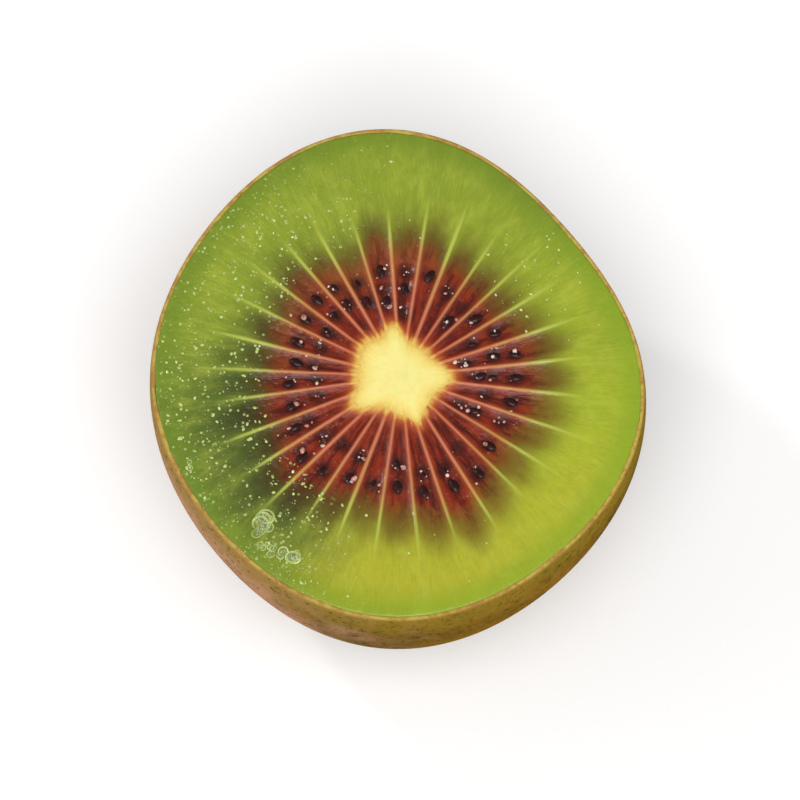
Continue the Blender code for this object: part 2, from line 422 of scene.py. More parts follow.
flesh = {
    "perChamber": 24,         # columns between two rays
    "faceRows": 112,
    "wallRows": 10,
    "wellRows": 4,
    "insideSkin": 0.05 * mm,  # how far it reaches into the skin
    "hollow": 0.22 * mm,      # depth of the seed chambers
    "hollowEnd": 3.4 * mm,    # how slowly they level out in the green
    "pocket": 0.08 * mm,      # round each seed
    "pocketRadius": 0.9 * mm,
    "redJitter": 0.6 * mm,    # chamber to chamber
    "rimSink": 0.07 * mm,     # where it meets the skin
    "rimSwell": 0.03 * mm,
    "knifeWave": 0.05 * mm,   # how far the cut is from flat
    "crowd": 0.55,            # how much closer the columns stand by the rays
}

chamberRed = np.array([draw.uniform(-1, 1) for _ in rayAt])
chamberTone = np.array([draw.random() for _ in rayAt])
rayStrength = np.array([draw.uniform(rays["faintest"], 1) for _ in rayAt])
draw = random.Random(11)
for _ in range(2 * rays["count"]):  # passes the rays' draws, so the seeds come as in the solids
    draw.random()

seeds = {
    "length": 1.9 * mm,
    "width": 1.15 * mm,
    "thick": 0.80 * mm,
    "gap": 0.3 * mm,          # to the red's edge
    "places": [(0.82, 1.0, 1.0), (0.40, 0.60, 0.75), (0.05, 0.20, 0.25)],  # from, to, how often
    "aside": 1.2,             # degrees
    "turn": 25,
    "sink": (0.14 * mm, 0.40 * mm),
    "taper": 0.36,
    "dark": "150707",
    "brown": "3a1410",
}


def seedSpots():
    spots = []
    for k in range(rays["count"]):
        angle = (rayRound[k] + rayRound[k + 1]) / 2
        near = coreReach(np.array([angle]))[0] + seeds["length"]
        far = redReach(np.array([angle]))[0] + red["tooth"] / 2 - seeds["gap"] - seeds["length"] * 0.6
        for low, high, often in seeds["places"]:
            reach = near + (far - near) * draw.uniform(low, high)
            aside = math.radians(draw.uniform(-seeds["aside"], seeds["aside"]))
            turn = math.radians(draw.uniform(-seeds["turn"], seeds["turn"]))
            if draw.random() < often:
                spots.append((*fromCore(angle + aside, reach), angle + aside + turn))
    return spots


spots = seedSpots()


def makeFlesh():
    angle, chamber, place = columnAngles(flesh["perChamber"], flesh["crowd"])
    coreEdge = coreReach(angle)
    fleshEdge = outlineReach(angle) - fruit["skin"] + flesh["insideSkin"]
    along = np.linspace(0, 1, flesh["faceRows"] + 1)
    along = np.insert(along, 1, 0.0015)[:, None]  # holds the edge by the core
    reach = coreEdge + (fleshEdge - coreEdge) * along
    px, py = fromCore(angle, reach)

    # rays
    nearest = np.where(place < 0.5, chamber, (chamber + 1) % rays["count"])
    offRay = np.minimum(place, 1 - place) * (rayRound[chamber + 1] - rayRound[chamber])
    offRay = reach * np.sin(offRay)
    lastSeen = rayEnd[nearest] + rays["fade"] * 0.4
    rayFade = 1 - smooth(reach, lastSeen - rays["fade"], lastSeen)
    rayWidth = rays["halfWidth"] * (0.85 + 0.35 * along)
    ray = np.exp(-((offRay / rayWidth) ** 2)) * rayFade * rayStrength[nearest]

    # seed chambers, and the edge of the red in each
    arch = np.sin(math.pi * place)
    redEdge = redReach(angle) + red["tooth"] * (arch - 0.5)
    redEdge = redEdge + flesh["redJitter"] * chamberRed[chamber] * arch
    redEdge = redEdge + red["spread"] + humps(angle, red["tongues"])
    inChamber = smooth(reach - coreEdge, 0.2 * mm, 2.0 * mm)
    inChamber = inChamber * (1 - smooth(reach - redEdge, -0.2 * mm, flesh["hollowEnd"]))
    z = height + rays["rise"] * ray - flesh["hollow"] * inChamber * arch ** 0.7
    bySeed = np.zeros_like(px)
    for sx, sy, _ in spots:
        near = np.exp(-(((px - sx) ** 2 + (py - sy) ** 2) / flesh["pocketRadius"] ** 2))
        bySeed = np.maximum(bySeed, near)
    z = z - flesh["pocket"] * bySeed

    # the rim, and the knife's slight waves
    fromRim = (fleshEdge - reach) / mm
    z = z - flesh["rimSink"] * np.exp(-fromRim / 0.22)
    z = z + flesh["rimSwell"] * np.exp(-((fromRim - 1.1) / 0.9) ** 2)
    z = z + flesh["knifeWave"] * np.sin(px / (3.1 * mm) + 1) * np.sin(py / (4.3 * mm))
    face = np.stack([px, py, z], axis=-1)

    well = coreWall(angle, coreEdge, flesh["wellRows"])
    wall = wallRings(angle, fruit["skin"] - flesh["insideSkin"], flesh["wallRows"])[1:]
    rings = np.concatenate([well, face, wall])

    def spread(value):  # the face's values go on down the well and the wall
        return np.concatenate([value[:1]] * len(well) + [value] + [value[-1:]] * len(wall))

    values = {
        "reach": along + 0 * reach,
        "fromCore": (reach - coreEdge) / mm,
        "pastRed": (reach - redEdge) / mm,
        "ray": ray,
        "middle": arch + 0 * reach,
        "seedShade": bySeed,
        "tone": chamberTone[chamber] + 0 * reach,
        "streak": streakPlace(angle, reach / mm * 0.22),
    }
    return rollGrid("flesh", rings, {key: spread(value) for key, value in values.items()})


fleshLook = {
    "greenDeep": "88982c",
    "greenBright": "a6b22a",
    "greenYellow": "ada92b",  # towards the front
    "greenShady": "5c7028",   # round the shady spot
    "greenPale": "b8c046",
    "greenShade": "6c822a",
    "greenRim": "84a023",
    "greenRimFar": "688123",  # at the left and the top
    "halo": "5e551b",
    "haloLeft": "3f481e",
    "haloByRed": "5f3d14",
    "haloShady": "33230e",    # by the red, round the shady spot
    "haloSunny": "78591a",
    "redDark": "611709",
    "redLight": "8a280e",
    "redPurple": "470f09",
    "redLitBrown": "985327",     # painted light: lit lighter and browner far from the front, towards the upper left
    "redByCore": "aa451f",
    "redStreak": "a0522f",
    "redBySeed": "2a0b08",
    "redOrange": "b9652f",
    "coreEdge": "e2b85a",
    "rayByCore": "d88f48",
    "rayInRed": "cf7a58",
    "rayAtEdge": "c08a4c",
    "rayInGreen": "b0b84e",
    # painted glints of the wet cut, over its paler juicy cells
    "glintSpecks": "c9d28f",
}

zones = {                             # millimetres: from where a zone shows, and where it is full
    "sunnySpot": (7.0, -19.0, 29.0),  # the green is brightest here
    "sunny": (32.0, 12.0),
    "bright": (40.0, 9.0),
    "shadySpot": (-15.0, -8.4, 29.0),
    "shady": (18.0, 5.0),
    "left": (3.0, -15.0),             # across
    "front": (-4.0, -19.0),           # along
    "back": (4.0, 20.0),
    "upper": (4.0, 12.0),             # towards the upper left
    "halo": (6.3, 0.0),               # past the red
    "byRed": (3.8, 0.0),
    "redEdge": (1.8, -1.3),
    "byCore": (2.0, 0.1),             # past the core
    "orangeEdge": (1.4, 0.1),
    "goldEdge": (0.85, 0.0),
}


def greenFlesh(tree, look, at):  # brightest towards the lower right
    bright = step(tree, at["sunDistance"], *zones["bright"])
    base = blendColour(tree, bright, look["greenDeep"], look["greenBright"])
    front = step(tree, ragged(tree, at["alongY"], at["cloud"], 14.0), *zones["front"], 0.0, 0.85)
    base = blendColour(tree, front, base, look["greenYellow"])
    base = blendColour(tree, times(tree, at["shady"], 0.92), base, look["greenShady"])
    base = layered(
        tree, base, look,
        (at["streak"], 0.42, 0.75, 0.35, "greenPale"),
        (at["fibre"], 0.50, 0.75, 0.22, "greenPale"),
        (at["fibre"], 0.50, 0.25, 0.20, "greenShade"),
        (at["fine"], 0.35, 0.75, 0.18, "greenShade"),
    )
    farRim = sums(tree, "MAXIMUM", at["left"], step(tree, at["alongY"], *zones["back"]))
    rimTone = blendColour(tree, farRim, look["greenRim"], look["greenRimFar"])
    return blendColour(tree, step(tree, at["reach"], 0.84, 0.97, 0.0, 0.65), base, rimTone)


def darkHalo(tree, look, at, base):  # olive smudges past the seed chambers, brown by the red
    haloReach = ragged(tree, at["pastRed"], at["streak"], 2.5)
    haloReach = minus(tree, haloReach, times(tree, at["shady"], 2.6))
    haloReach = sums(tree, "ADD", haloReach, times(tree, at["sunny"], 0.3))
    halo = step(tree, haloReach, *zones["halo"])
    halo = times(tree, halo, step(tree, at["middle"], 0.1, 0.9, 0.45, 1.0))
    halo = times(tree, halo, step(tree, readValue(tree, "tone"), 0.0, 1.0, 0.7, 1.0))
    base = blendColour(tree, halo, base, blendColour(tree, at["left"], look["halo"], look["haloLeft"]))
    byRed = minus(tree, ragged(tree, at["pastRed"], at["fine"], 2.0), times(tree, at["sunny"], 0.9))
    tone = blendColour(tree, at["sunny"], look["haloByRed"], look["haloSunny"])
    tone = blendColour(tree, times(tree, at["shady"], 0.8), tone, look["haloShady"])
    return blendColour(tree, step(tree, byRed, *zones["byRed"], 0.0, 0.8), base, tone)


def redFlesh(tree, look, at, base):
    tone = blendColour(tree, step(tree, at["streak"], 0.3, 0.7), look["redDark"], look["redLight"])
    purple = times(tree, step(tree, at["fromCore"], 0.7, 2.6), step(tree, at["streak"], 0.58, 0.36))
    purple = times(tree, purple, step(tree, at["middle"], 0.2, 0.8, 0.30, 0.80))
    tone = blendColour(tree, purple, tone, look["redPurple"])
    tone = layered(
        tree, tone, look,
        (at["fibre"], 0.50, 0.74, 0.30, "redStreak"),
        (at["middle"], 0.75, 0.15, 0.50, "redByCore"),
        (at["fromCore"], *zones["byCore"], 1.0, "redByCore"),
    )
    # painted light: the outer red is lit lighter and browner towards the upper left
    upper = step(tree, minus(tree, at["alongY"], times(tree, at["acrossX"], 0.6)), *zones["upper"])
    upper = times(tree, upper, step(tree, at["pastRed"], -3.5, 0.0, 0.0, 0.75))
    upper = times(tree, upper, step(tree, at["streak"], 0.35, 0.62, 0.35, 1.0))
    tone = blendColour(tree, upper, tone, look["redLitBrown"])
    tone = layered(tree, tone, look, (readValue(tree, "seedShade"), 0.1, 0.9, 0.75, "redBySeed"))
    edge = ragged(tree, ragged(tree, at["pastRed"], at["fine"], 2.0), at["streak"], 3.0)
    return blendColour(tree, step(tree, edge, *zones["redEdge"]), base, tone)


def paleRays(tree, look, at, base):  # yellow by the core, salmon in the red, pale green beyond it
    tone = blendColour(tree, step(tree, at["fromCore"], 0.2, 1.6), look["rayByCore"], look["rayInRed"])
    tone = layered(
        tree, tone, look,
        (at["pastRed"], -5.0, -1.0, 1.0, "rayAtEdge"),
        (at["pastRed"], -1.0, 2.0, 1.0, "rayInGreen"),
    )
    base = blendColour(tree, step(tree, at["ray"], 0.08, 0.80, 0.0, 0.95), base, tone)
    edge = ragged(tree, at["fromCore"], at["ray"], -0.35, 0.2)
    edge = minus(tree, edge, step(tree, at["acrossX"], 0.5, -3.5, 0.0, 0.22))  # goes farther at the left
    edge = ragged(tree, ragged(tree, edge, at["streak"], 1.3), at["fine"], 0.6)
    return layered(
        tree, base, look,
        (edge, *zones["orangeEdge"], 1.0, "redOrange"),
        (edge, *zones["goldEdge"], 1.0, "coreEdge"),
    )


def paleCellsAndGlints(tree, look, at, base):  # painted glints of the wet cut over its paler juicy cells, mostly at the left
    dots = step(tree, cells(tree, at["place"], 1.5), 0.26, 0.12)
    dots = times(tree, dots, step(tree, speckle(tree, at["place"], 0.55), 0.50, 0.58))
    dots = times(tree, times(tree, dots, at["left"]), step(tree, at["pastRed"], 0.0, 2.0, 0.1, 0.6))
    base = blendColour(tree, dots, base, look["glintSpecks"])
    # the same painted glints, towards the rim at the left
    rimCellsAndGlints = step(tree, cells(tree, at["place"], 2.7), 0.25, 0.13)
    rimCellsAndGlints = times(tree, rimCellsAndGlints, step(tree, speckle(tree, at["place"], 0.9), 0.48, 0.62))
    rimCellsAndGlints = times(tree, rimCellsAndGlints, step(tree, at["reach"], 0.62, 0.94, 0.0, 0.65))
    return blendColour(tree, times(tree, rimCellsAndGlints, at["left"]), base, look["glintSpecks"])


def fleshFinish():
    look = colours(fleshLook)
    finish, tree, shader = newFinish("wetKiwiFlesh", **{
        "Roughness": 0.34,
        "Specular IOR Level": 0.1,
        "Subsurface Weight": 0.22,
        "Subsurface Scale": 0.5 * mm,
        "Subsurface Radius": (1.0, 0.75, 0.25),
        "Coat Weight": 0.7,
        "Coat Roughness": 0.07,
        "Coat IOR": 1.34,
    })
    place = millimetres(tree)
    axes = node(tree, "SeparateXYZ", {0: place}).outputs
    streakAt = readVector(tree, "streak")
    cloud = speckle(tree, place, 0.16, 3.0)
    streak = speckle(tree, streakAt, 1.7, 4.0, 0.6)
    fibre = speckle(tree, stretched(tree, streakAt, (7.0, 7.0, 1.8)), 1.7)
    fine = speckle(tree, place, 1.3, 3.0, 0.65)
    sunDistance = ragged(tree, distanceTo(tree, place, zones["sunnySpot"]), cloud, 18.0)
    shadeDistance = ragged(tree, distanceTo(tree, place, zones["shadySpot"]), cloud, 10.0)
    at = {name: readValue(tree, name) for name in ("reach", "pastRed", "fromCore", "ray", "middle")}
    at.update({
        "place": place,
        "acrossX": axes["X"],
        "alongY": axes["Y"],
        "cloud": cloud,
        "streak": streak,
        "fibre": fibre,
        "fine": fine,
        "sunDistance": sunDistance,
        "sunny": step(tree, sunDistance, *zones["sunny"]),
        "shady": step(tree, shadeDistance, *zones["shady"]),
        "left": step(tree, ragged(tree, axes["X"], cloud, 22.0), *zones["left"]),
    })
    base = greenFlesh(tree, look, at)
    for part in (darkHalo, redFlesh, paleRays, paleCellsAndGlints):
        base = part(tree, look, at, base)

    # juicy cells and fibres, rougher at the left; the wet film on them glints most there
    rough = step(tree, at["left"], 0.0, 1.0, 0.55, 1.4)
    normal = bumps(tree, times(tree, cells(tree, place, 1.9, "SMOOTH_F1"), rough), 0.10 * mm, 0.35)
    normal = bumps(tree, times(tree, fine, rough), 0.12 * mm, 0.5, normal)
    normal = bumps(tree, fibre, 0.04 * mm, 0.6, normal)
    normal = bumps(tree, streak, 0.10 * mm, 0.5, normal)
    film = step(tree, speckle(tree, place, 2.3, 1.0), 0.56, 0.72)
    wet = sums(tree, "MAXIMUM", at["left"], step(tree, at["pastRed"], 1.5, -1.5, 0.15, 0.9))
    connect(tree, shader, {
        "Base Color": base,
        "Normal": normal,
        "Coat Normal": bumps(tree, times(tree, film, wet), 0.06 * mm, 1.0, normal),
        "Roughness": step(tree, fine, 0.3, 0.7, 0.26, 0.46),
    })
    return finish


fleshPiece = makeFlesh()
fleshPiece.data.materials.append(fleshFinish())
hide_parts("outer_flesh", "inner_flesh")
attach(fleshPiece, "root")
print("flesh:", len(fleshPiece.data.polygons), "faces")


# The pale core

corePart = {
    "perChamber": 8,
    "faceRows": 22,
    "wallRows": 6,
    "overlap": 0.16 * mm,
    "over": 0.008 * mm,  # the flesh that it lies on
    "crowd": 0.3,        # as in the flesh
    "wave": 0.04 * mm,   # how uneven its top is
}

coreLook = {
    "edge": "e2b85a",
    "ring": "eed878",
    "middle": "efe590",
    "shade": "e6d672",
}


def makeCore():
    angle = columnAngles(corePart["perChamber"], corePart["crowd"])[0]
    edge = coreReach(angle) + corePart["overlap"]
    rings = coreWall(angle, edge, corePart["wallRows"])
    inward = np.linspace(0, 1, corePart["faceRows"] + 1) ** 0.9
    inward = np.insert(inward, 1, 0.004)
    for share in inward:
        reach = edge * (1 - share)
        lift = core["dome"] * (1 - (1 - share) ** 3) + corePart["over"]
        px = reach * np.cos(angle)
        py = reach * np.sin(angle)
        wave = corePart["wave"] * np.sin(px / (1.1 * mm) + 0.6) * np.cos(py / (1.3 * mm))
        rings.append(coreRing(angle, reach, height + lift + wave * min(1, share * 4)))
    depth = np.zeros((len(rings), len(angle)))
    depth[-len(inward):] = inward[:, None] * edge / mm
    values = {"inward": depth, "streak": streakPlace(angle, 0 * depth)}
    return rollGrid("paleCore", np.array(rings), values)


def coreFinish():
    finish, tree, shader = newFinish("paleCore", **{
        "Roughness": 0.45,
        "Specular IOR Level": 0.25,
        "Subsurface Weight": 0.3,
        "Subsurface Scale": 0.8 * mm,
        "Subsurface Radius": (1.0, 0.85, 0.35),
        "Coat Weight": 0.25,
        "Coat Roughness": 0.2,
    })
    look = colours(coreLook)
    place = millimetres(tree)
    inward = readValue(tree, "inward")
    streakAt = readVector(tree, "streak")
    fine = speckle(tree, place, 1.6, 4.0, 0.6)
    pith = speckle(tree, place, 0.55, 3.0, 0.6)
    streak = speckle(tree, streakAt, 2.2, 3.0, 0.6)
    fibre = speckle(tree, stretched(tree, streakAt, (2.4, 2.4, 1.0)), 2.2)
    edge = ragged(tree, inward, streak, 1.6)
    base = layered(
        tree, look["edge"], look,
        (edge, -0.2, 0.9, 1.0, "ring"),
        (edge, 0.4, 1.9, 1.0, "middle"),
        (fine, 0.48, 0.75, 0.35, "shade"),
        (pith, 0.50, 0.70, 0.35, "ring"),
    )
    threads = times(tree, step(tree, fibre, 0.48, 0.68), step(tree, inward, 3.4, 0.6, 0.1, 0.6))
    connect(tree, shader, {
        "Base Color": blendColour(tree, threads, base, look["ring"]),
        "Normal": bumps(tree, fibre, 0.05 * mm, 0.4, bumps(tree, fine, 0.14 * mm, 0.6)),
    })
    return finish


corePiece = makeCore()
corePiece.data.materials.append(coreFinish())
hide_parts("core")
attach(corePiece, "root")
print("core:", len(corePiece.data.polygons), "faces")


# The seeds

def makeSeeds():
    deselect()
    bpy.ops.mesh.primitive_uv_sphere_add(segments=14, ring_count=9, radius=0.5)
    model = bpy.context.object
    lieDown = {"value": math.pi / 2, "orient_axis": "Y", "center_override": (0, 0, 0)}
    editMode(model, (bpy.ops.transform.rotate, lieDown))
    for vert in model.data.vertices:
        x, y, z = vert.co
        taper = 1 - seeds["taper"] * (0.5 - x) ** 1.5  # narrow end towards the core
        vert.co = (x * seeds["length"], y * seeds["width"] * taper, z * seeds["thick"] * taper)
    cleanUp(model)
    places = []
    for k, (x, y, turn) in enumerate(spots):
        tilt = Matrix.Rotation(math.radians(6 * math.sin(2.4 * k)), 4, "Y")
        size = Matrix.Scale(0.86 + 0.08 * math.sin(1.7 * k), 4)
        sink = seeds["sink"][0] + (seeds["sink"][1] - seeds["sink"][0]) * (0.5 + 0.5 * math.sin(3.3 * k))
        spot = Matrix.Translation((x + middleX, y + middleY, height - flesh["hollow"] - sink))
        places.append(spot @ Matrix.Rotation(turn, 4, "Z") @ tilt @ size)
    return joinCopies("seeds", model, places)


def seedFinish():
    finish, tree, shader = newFinish("darkSeed", **{
        "Specular IOR Level": 0.1,
        "Coat Weight": 0.35,
        "Coat Roughness": 0.06,
        "Coat IOR": 1.35,
    })
    place = millimetres(tree)
    dark, brown = colour(seeds["dark"]), colour(seeds["brown"])
    connect(tree, shader, {
        "Base Color": blendColour(tree, speckle(tree, place, 1.2, 3.0), dark, brown),
        "Normal": bumps(tree, speckle(tree, place, 4.0), 0.05 * mm, 0.4),
        "Roughness": step(tree, speckle(tree, place, 2.0), 0.3, 0.7, 0.25, 0.45),
    })
    return finish


seedPiece = makeSeeds()
seedPiece.data.materials.append(seedFinish())
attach(seedPiece, "root")
print("seeds:", len(spots))


# Juice beads on the cut, mostly at the left, and a few bubbles

juice = {
    "beadLength": (0.8, 1.7),  # times its width
    "beadFlat": 0.55,
    "green": {                 # on the green flesh
        "count": 780,
        "radius": (0.045 * mm, 0.165 * mm),
        "inner": 0.44,         # how far they come in from the rim
        "thick": [             # in these sectors: degrees, half-width, share
            (138, 26, 1.0), (188, 44, 1.0), (230, 20, 0.9), (38, 16, 0.45), (285, 16, 0.1),
        ],
    },
    "red": {                   # in the seed chambers
        "count": 130,
        "radius": (0.05 * mm, 0.14 * mm),
        "drops": 32,           # larger ones, whose pinkish white is painted glint
        "dropRadius": (0.15 * mm, 0.31 * mm),
        "scatter": 0.5 * mm,
    },
    "lean": 0.3,               # radians
    "outermost": 0.965,        # share of the outline
    "redTo": 12.6 * mm,        # pinkish beads within this
    # partly the juice's own pale colour, partly painted glints: the near-white stands in for the light the
    # drops catch
    "pale": ("93a640", "c6d27e"),
    "pink": ("a9614c", "eccabb"),
}

bubbles = {
    "clusters": [  # degrees, share of the outline, count, spread, smallest and largest radius
        (229, 0.84, 11, 0.52 * mm, 0.32 * mm, 0.75 * mm),
        (232, 0.93, 3, 0.25 * mm, 0.25 * mm, 0.40 * mm),
        (235, 0.895, 3, 0.20 * mm, 0.30 * mm, 0.50 * mm),
        (238, 0.89, 2, 0.15 * mm, 0.30 * mm, 0.50 * mm),
        (241, 0.87, 3, 0.20 * mm, 0.35 * mm, 0.68 * mm),
        (204, 0.93, 2, 0.30 * mm, 0.20 * mm, 0.30 * mm),
    ],
    "tilt": 0.30,  # radians, so a part of each rim sinks in
    # pale, so that it shows as painted reflection at the bubbles' edges
    "film": "c4cf92",
}


def faceSpot(turn, share):  # a place on the cut, by angle and share of the way to the outline
    x, y = outlinePoints(np.array([turn]), share)
    return x[0], y[0]


def beadPlace(wet, x, y, z, radii):
    radius = radii[0] + (radii[1] - radii[0]) * wet.random() ** 1.6
    long = radius * wet.uniform(*juice["beadLength"])
    spot = Matrix.Translation((x + middleX, y + middleY, z))
    lean = Matrix.Rotation(wet.uniform(-juice["lean"], juice["lean"]), 4, "Y")
    size = Matrix.Diagonal((long, radius, radius * juice["beadFlat"], 1))
    return spot @ Matrix.Rotation(wet.uniform(0, math.tau), 4, "Z") @ lean @ size


def makeBeads():
    deselect()
    bpy.ops.mesh.primitive_uv_sphere_add(segments=8, ring_count=5, radius=1)
    model = bpy.context.object
    editMode(model, (bpy.ops.mesh.faces_shade_smooth, {}))
    wet = random.Random(5)
    places = []
    green = juice["green"]
    while len(places) < green["count"]:
        turn = wet.uniform(0, 360)
        share = 1 - green["inner"] * wet.random() ** 1.5
        near = 0
        for at, width, keep in green["thick"]:
            off = (turn - at + 180) % 360 - 180
            near = max(near, keep * math.exp(-((off / width) ** 2)))
        if wet.random() > near or share > juice["outermost"]:
            continue
        x, y = faceSpot(math.radians(turn), share)
        places.append(beadPlace(wet, x, y, height, green["radius"]))
    inRed = juice["red"]
    for k in range(inRed["count"] + inRed["drops"]):
        x, y, _ = spots[wet.randrange(len(spots))]
        x, y = x + wet.gauss(0, inRed["scatter"]), y + wet.gauss(0, inRed["scatter"])
        radii = inRed["radius"] if k < inRed["count"] else inRed["dropRadius"]
        places.append(beadPlace(wet, x, y, height - flesh["hollow"] * 0.8, radii))
    return joinCopies("juiceBeads", model, places)


def beadFinish():
    finish, tree, shader = newFinish("juice", **{
        "Roughness": 0.08,
        "Subsurface Weight": 0.5,
        "Subsurface Scale": 0.4 * mm,
        "Coat Weight": 1.0,
        "Coat Roughness": 0.03,
    })
    place = millimetres(tree)
    middle = ((fruit["coreX"] + middleX) / mm, (fruit["coreY"] + middleY) / mm, height / mm)
    reach = distanceTo(tree, place, middle)
    mottle = step(tree, speckle(tree, place, 0.8), 0.35, 0.65)
    # pale in the green, pinkish white in the red: partly painted glints
    pale = blendColour(tree, mottle, *[colour(code) for code in juice["pale"]])
    pink = blendColour(tree, mottle, *[colour(code) for code in juice["pink"]])
    redTo = juice["redTo"] / mm
    inRed = step(tree, reach, redTo + 1.0, redTo - 1.0)
    connect(tree, shader, {"Base Color": blendColour(tree, inRed, pale, pink)})
    return finish


beadPiece = makeBeads()
beadPiece.data.materials.append(beadFinish())
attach(beadPiece, "root")


def makeBubbles():
    deselect()
    bpy.ops.mesh.primitive_torus_add(major_segments=16, minor_segments=6, major_radius=1, minor_radius=0.2)
    ring = bpy.context.object
    deselect()
    bpy.ops.mesh.primitive_uv_sphere_add(segments=14, ring_count=8, radius=0.98)
    film = bpy.context.object
    for vert in film.data.vertices:
        vert.co.z = max(vert.co.z, 0) * 0.7
    for model in (ring, film):
        cleanUp(model, 1e-4)
    foam = random.Random(8)
    places = []
    for turn, share, count, spread, small, large in bubbles["clusters"]:
        x, y = faceSpot(math.radians(turn), share)
        for _ in range(count):
            radius = small + (large - small) * foam.random() ** 1.3
            dx, dy = foam.gauss(0, spread), foam.gauss(0, spread)
            spot = Matrix.Translation((x + dx + middleX, y + dy + middleY, height + 0.01 * mm))
            turned = Matrix.Rotation(foam.uniform(0, math.tau), 4, "Z")
            lean = turned @ Matrix.Rotation(bubbles["tilt"] * foam.random(), 4, "X")
            size = Matrix.Diagonal((radius, radius * foam.uniform(0.8, 1), radius * 0.8, 1))
            places.append(spot @ lean @ size)
    return joinCopies("bubbleRims", ring, places), joinCopies("bubbleFilms", film, places)


def filmFinish():
    finish, tree, shader = newFinish("bubbleFilm", **{
        "Base Color": colour(bubbles["film"]),
        "Roughness": 0.05,
        "Coat Weight": 1.0,
        "Coat Roughness": 0.03,
    })
    facing = node(tree, "LayerWeight", {"Blend": 0.4}).outputs["Facing"]
    # the pale film shows most at its edges: painted reflection
    connect(tree, shader, {"Alpha": step(tree, facing, 0.0, 1.0, 0.10, 0.5)})
    return finish


bubbleRims, bubbleFilms = makeBubbles()
# the rims, pale as the beads: painted reflections of the bubble edges
bubbleRims.data.materials.append(beadPiece.data.materials[0])
bubbleFilms.data.materials.append(filmFinish())
for bubblePiece in (bubbleRims, bubbleFilms):
    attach(bubblePiece, "root")
print("juice: beads and bubbles in place")


# The skin

skin = {
    "columns": 640,
    "wallRows": 60,
    "insideRows": 5,
    "rim": [              # millimetres inwards and down, share of the cut's colour
        (0.42, 0.30, 1.0), (0.40, 0.04, 1.0), (0.30, 0.0, 1.0),
        (0.17, 0.0, 1.0), (0.06, 0.03, 0.6), (0.0, 0.13, 0.15),
    ],
    "notch": 0.022 * mm,  # how uneven the knife left the edge
    "notchCounts": (7, 13, 19, 31, 43, 67, 89, 113, 151, 197),
}

skinLook = {
    "olive": "5f4b18",
    "yellow": "85601e",
    "pink": "c8967a",
    "fleck": "95702e",
    "pore": "402810",
    "shade": "462f10",
    "glow": "8c7626",  # where the flesh shows through it, under the rim
    "blossomEnd": "5e4526",
    "cutEdge": "bda650",
    "cutBrown": "a97e42",
}


def makeSkin():
    knife = random.Random(14)
    angle = np.linspace(0, math.tau, skin["columns"] + 1)
    x, y = outlinePoints(angle)
    size = np.hypot(x, y)
    notches = sum(
        knife.uniform(0.3, 1) / (1 + count / 40) * np.sin(count * angle + knife.uniform(0, math.tau))
        for count in skin["notchCounts"]
    )
    rise = skin["notch"] * notches
    rise = rise - rise.max()
    aside = 0.12 * np.roll(notches[:-1], 40)[np.arange(len(angle)) % skin["columns"]]
    inside = wallRings(angle, fruit["skin"], skin["insideRows"])[1:][::-1]
    rim = []
    for inward, down, _ in skin["rim"]:
        inward = inward * mm * (1 + aside)
        drop = height - down * mm + rise
        rim.append(np.stack([x * (1 - inward / size), y * (1 - inward / size), drop], axis=-1))
    outside = wallRings(angle, 0, skin["wallRows"])[1:]
    rings = np.concatenate([inside, rim, outside])
    down = np.concatenate([np.ones(len(inside)), np.zeros(len(rim)), np.linspace(0, 1, len(outside))])
    shown = [share for _, _, share in skin["rim"]]
    cut = np.concatenate([np.zeros(len(inside)), shown, np.zeros(len(outside))])
    values = {"down": down[:, None] + 0 * angle, "cut": cut[:, None] + 0 * angle}
    return rollGrid("thinSkin", rings, values)


def skinFinish():
    finish, tree, shader = newFinish("thinKiwiSkin", **{
        "Specular IOR Level": 0.0,
        "Subsurface Weight": 0.12,
        "Subsurface Scale": 0.4 * mm,
    })
    look = colours(skinLook)
    place = millimetres(tree)
    down = readValue(tree, "down")
    cloud = speckle(tree, place, 0.10, 4.0, 0.6)
    patch = speckle(tree, place, 0.22, 3.0, 0.6)
    mottle = speckle(tree, place, 0.9, 4.0, 0.7)
    fine = speckle(tree, place, 2.6, 3.0, 0.65)
    pores = cells(tree, place, 0.85)
    side = vectorMath(tree, "DOT_PRODUCT", "Value", place, (-0.045, 0.0, 0.0))
    pinkness = step(tree, sums(tree, "ADD", patch, times(tree, side, 0.70)), 0.36, 1.05, 0.0, 0.85)
    pinkness = times(tree, pinkness, step(tree, down, 0.60, 0.12, 0.30, 1.0))
    base = blendColour(tree, step(tree, cloud, 0.36, 0.66), look["olive"], look["yellow"])
    base = blendColour(tree, pinkness, base, look["pink"])
    base = layered(
        tree, base, look,
        (ragged(tree, down, patch, 0.10), 0.14, 0.0, 0.70, "glow"),
        (mottle, 0.50, 0.70, 0.50, "fleck"),
        (mottle, 0.48, 0.30, 0.60, "shade"),
        (fine, 0.52, 0.72, 0.55, "fleck"),
        (fine, 0.46, 0.28, 0.60, "shade"),
        (pores, 0.19, 0.08, 0.80, "pore"),
        (down, 0.66, 0.98, 0.85, "blossomEnd"),
    )
    cutTone = blendColour(tree, step(tree, mottle, 0.40, 0.60), look["cutEdge"], look["cutBrown"])
    normal = bumps(tree, mottle, 0.10 * mm, 0.5, bumps(tree, fine, 0.10 * mm, 0.6))
    connect(tree, shader, {
        "Base Color": blendColour(tree, readValue(tree, "cut"), base, cutTone),
        "Normal": bumps(tree, pores, 0.06 * mm, 0.4, normal),
        "Roughness": step(tree, patch, 0.3, 0.7, 0.48, 0.66),
    })
    return finish


skinPiece = makeSkin()
skinPiece.data.materials.append(skinFinish())
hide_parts("skin")
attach(skinPiece, "root")
print("skin:", len(skinPiece.data.polygons), "faces")


# The blossom end: dried styles on their pad, in the hollow, and the fuzz round it

